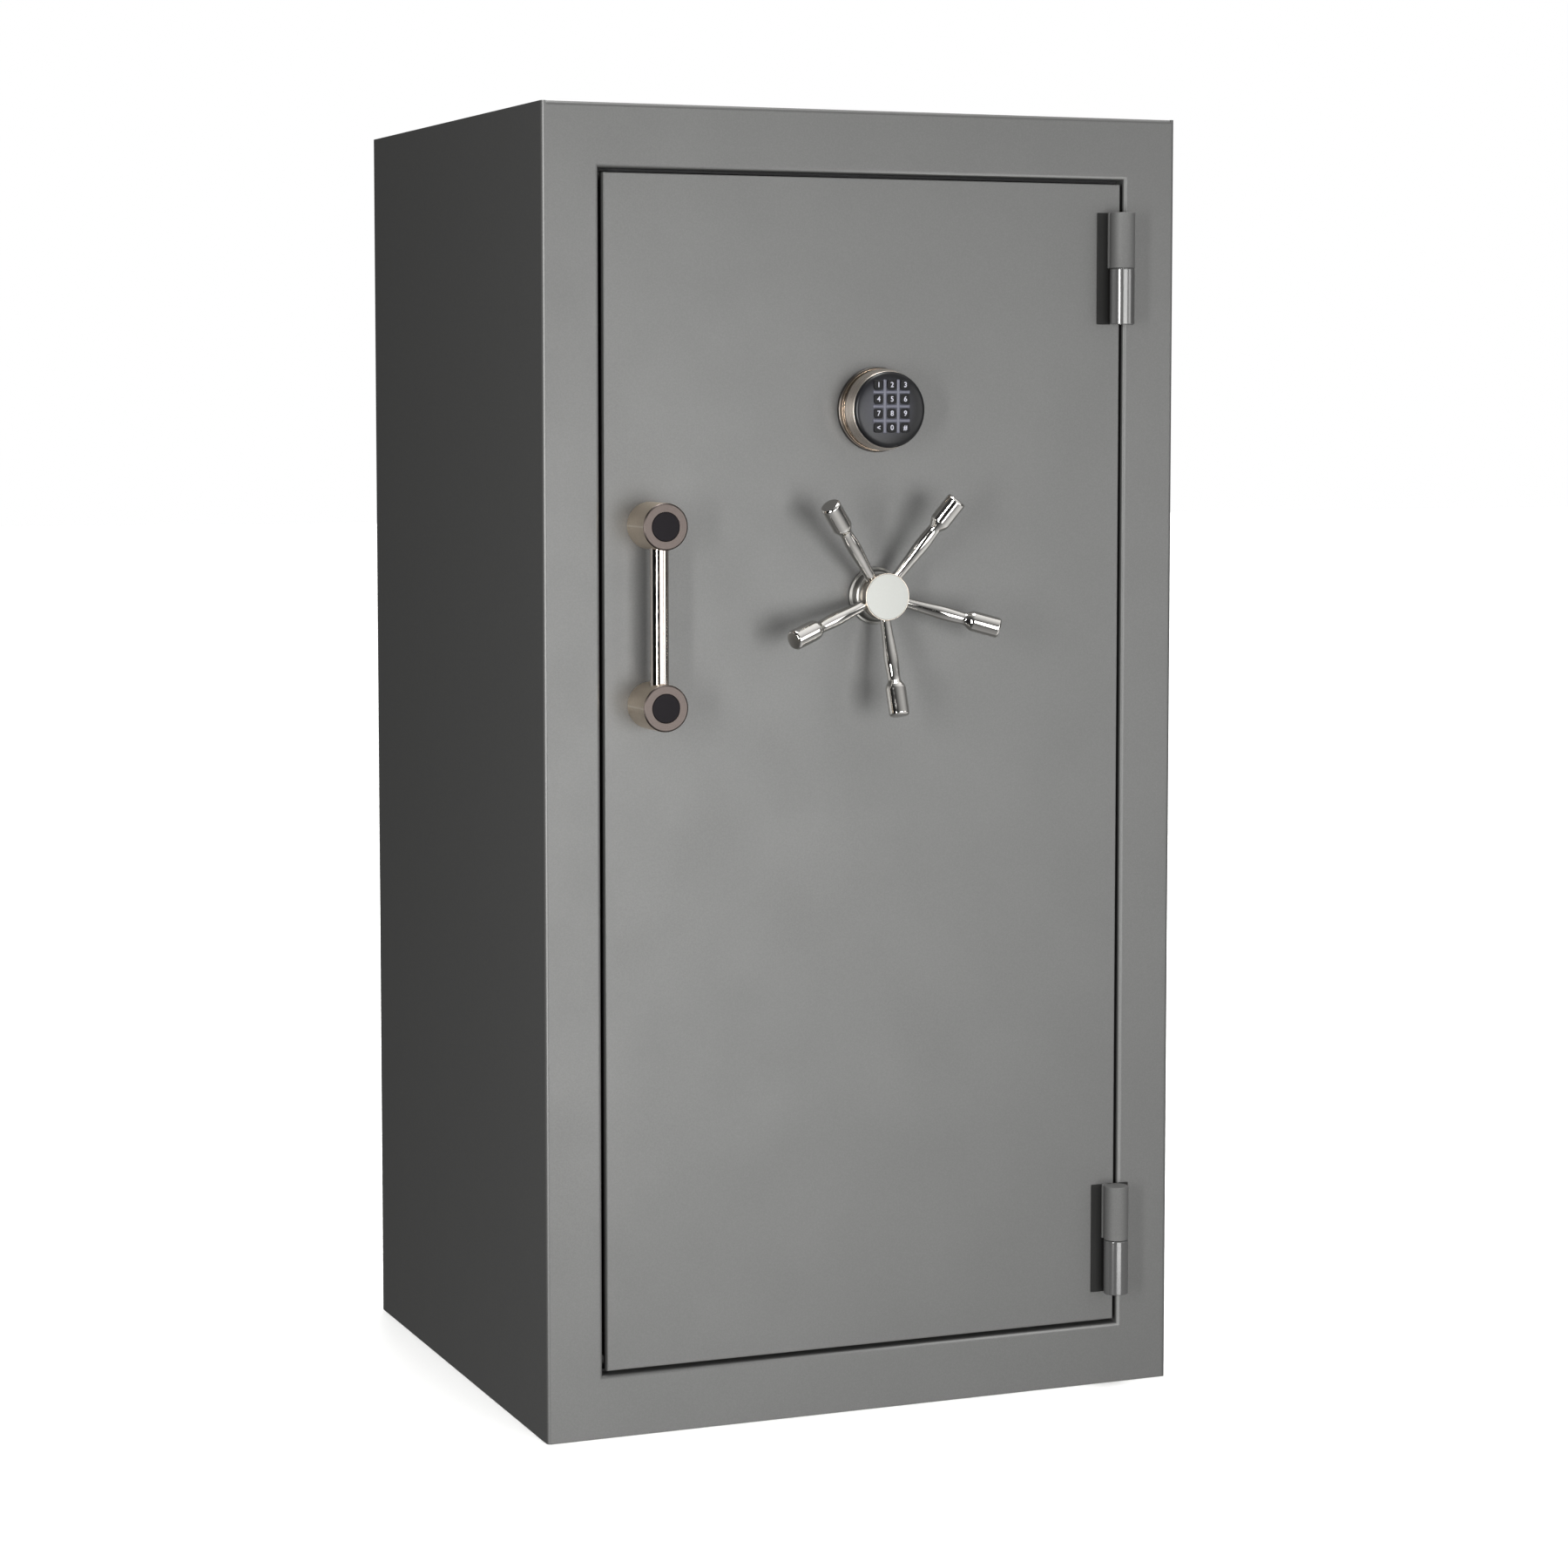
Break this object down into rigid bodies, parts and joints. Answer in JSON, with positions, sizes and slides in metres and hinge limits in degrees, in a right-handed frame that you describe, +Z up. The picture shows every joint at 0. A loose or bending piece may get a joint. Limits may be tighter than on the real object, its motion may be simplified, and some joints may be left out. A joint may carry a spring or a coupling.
{
  "type": "gun safe",
  "caption": "Free-standing steel gun safe with a flush hinged door, round keypad, spoked handle, pull handle, sliding bolts and a fitted interior.",
  "frame": {"origin": "on the floor under the middle of the cabinet, handles left out", "axes": "+X to the right facing the door, +Y from the door towards the back, +Z up"},
  "size_m": [0.785, 0.7449, 1.505],
  "materials": {
    "body_paint": "satin",
    "bare_steel": "satin",
    "lock_casting": "satin",
    "chrome": "polished",
    "satin_nickel": "satin",
    "hub_disc": "satin",
    "dark_collar": "satin",
    "bronze": "satin",
    "black_plastic": "matte",
    "key_plastic": "matte",
    "battery": "satin",
    "fire_board": "matte",
    "fire_seal": "matte",
    "carpet": "matte",
    "carpeted_board": "matte",
    "upholstery": "matte"
  },
  "bodies": {
    "cabinet": {"cabinet_walls": "body_paint", "back_plate": "body_paint", "front_frame": "body_paint", "opening_jamb": "body_paint", "bolt_strike": "body_paint", "fire_seal": "fire_seal", "fire_board": "fire_board", "carpet_lining": "carpet", "floor_carpet": "carpet", "divider_panel": "carpeted_board", "shelves": "carpeted_board", "shelf_standards": "bare_steel", "barrel_rack": "carpet", "frame_hinge_knuckles": "body_paint", "hinge_pins": "bare_steel"},
    "door": {"door_plate": "body_paint", "door_pan": "bare_steel", "door_fire_board": "fire_board", "door_hinge_knuckles": "body_paint", "bolt_channels": "bare_steel", "door_inner_panel": "upholstery", "panel_screws": "bare_steel", "hard_plate": "bare_steel", "lock_case": "lock_casting", "spindle_bush": "bronze", "handle_collar": "dark_collar", "pull_posts": "satin_nickel", "pull_post_caps": "black_plastic", "pull_bar": "chrome", "pull_handle_bolts": "bare_steel", "keypad_base": "dark_collar", "keypad_housing": "satin_nickel", "keypad_face": "black_plastic", "keypad_battery": "battery"},
    "handle": {"handle_spindle": "bare_steel", "handle_hub": "satin_nickel", "handle_hub_disc": "hub_disc", "handle_spokes": "chrome", "pinion": "bare_steel"},
    "bolts_left": {"left_bolt_bar": "bare_steel", "left_bolts": "chrome"},
    "bolts_right": {"right_bolt_bar": "bare_steel", "right_bolts": "chrome"},
    "bolts_top": {"top_bolt_link": "bare_steel", "top_bolt": "chrome"},
    "bolts_bottom": {"bottom_bolt_link": "bare_steel", "bottom_bolt": "chrome"},
    "lock_slide": {"lock_bolt": "bare_steel"},
    "button_1": {"key_1": "key_plastic"},
    "button_2": {"key_2": "key_plastic"},
    "button_3": {"key_3": "key_plastic"},
    "button_4": {"key_4": "key_plastic"},
    "button_5": {"key_5": "key_plastic"},
    "button_6": {"key_6": "key_plastic"},
    "button_7": {"key_7": "key_plastic"},
    "button_8": {"key_8": "key_plastic"},
    "button_9": {"key_9": "key_plastic"},
    "button_clear": {"key_clear": "key_plastic"},
    "button_0": {"key_0": "key_plastic"},
    "button_enter": {"key_enter": "key_plastic"}
  },
  "joints": [
    {"name": "door_hinge", "type": "hinge", "parent": "cabinet", "child": "door", "pos_m": [0.317, -0.351, 0.752], "axis": [0, 0, 1], "range_deg": [0, 180]},
    {"name": "handle_turn", "type": "hinge", "parent": "door", "child": "handle", "pos_m": [0.008, -0.336, 0.952], "axis": [0, 1, 0], "range_deg": [0, 90]},
    {"name": "bolts_left_slide", "type": "slide", "parent": "door", "child": "bolts_left", "axis": [-1, 0, 0], "range_m": [0, 0.0315]},
    {"name": "bolts_right_slide", "type": "slide", "parent": "door", "child": "bolts_right", "axis": [1, 0, 0], "range_m": [0, 0.0315]},
    {"name": "bolts_top_slide", "type": "slide", "parent": "door", "child": "bolts_top", "axis": [0, 0, 1], "range_m": [0, 0.0315]},
    {"name": "bolts_bottom_slide", "type": "slide", "parent": "door", "child": "bolts_bottom", "axis": [0, 0, -1], "range_m": [0, 0.0315]},
    {"name": "lock_bolt_slide", "type": "slide", "parent": "door", "child": "lock_slide", "axis": [-1, 0, 0], "range_m": [0, 0.01]},
    {"name": "key_1_press", "type": "slide", "parent": "door", "child": "button_1", "axis": [0, 1, 0], "range_m": [0, 0.001], "stiffness_N_per_m": 600},
    {"name": "key_2_press", "type": "slide", "parent": "door", "child": "button_2", "axis": [0, 1, 0], "range_m": [0, 0.001], "stiffness_N_per_m": 600},
    {"name": "key_3_press", "type": "slide", "parent": "door", "child": "button_3", "axis": [0, 1, 0], "range_m": [0, 0.001], "stiffness_N_per_m": 600},
    {"name": "key_4_press", "type": "slide", "parent": "door", "child": "button_4", "axis": [0, 1, 0], "range_m": [0, 0.001], "stiffness_N_per_m": 600},
    {"name": "key_5_press", "type": "slide", "parent": "door", "child": "button_5", "axis": [0, 1, 0], "range_m": [0, 0.001], "stiffness_N_per_m": 600},
    {"name": "key_6_press", "type": "slide", "parent": "door", "child": "button_6", "axis": [0, 1, 0], "range_m": [0, 0.001], "stiffness_N_per_m": 600},
    {"name": "key_7_press", "type": "slide", "parent": "door", "child": "button_7", "axis": [0, 1, 0], "range_m": [0, 0.001], "stiffness_N_per_m": 600},
    {"name": "key_8_press", "type": "slide", "parent": "door", "child": "button_8", "axis": [0, 1, 0], "range_m": [0, 0.001], "stiffness_N_per_m": 600},
    {"name": "key_9_press", "type": "slide", "parent": "door", "child": "button_9", "axis": [0, 1, 0], "range_m": [0, 0.001], "stiffness_N_per_m": 600},
    {"name": "key_clear_press", "type": "slide", "parent": "door", "child": "button_clear", "axis": [0, 1, 0], "range_m": [0, 0.001], "stiffness_N_per_m": 600},
    {"name": "key_0_press", "type": "slide", "parent": "door", "child": "button_0", "axis": [0, 1, 0], "range_m": [0, 0.001], "stiffness_N_per_m": 600},
    {"name": "key_enter_press", "type": "slide", "parent": "door", "child": "button_enter", "axis": [0, 1, 0], "range_m": [0, 0.001], "stiffness_N_per_m": 600}
  ],
  "couplings": [
    {"joint": "bolts_left_slide", "follows": "handle_turn", "m_per_rad": 0.02},
    {"joint": "bolts_right_slide", "follows": "handle_turn", "m_per_rad": 0.02},
    {"joint": "bolts_top_slide", "follows": "handle_turn", "m_per_rad": 0.02},
    {"joint": "bolts_bottom_slide", "follows": "handle_turn", "m_per_rad": 0.02}
  ]
}
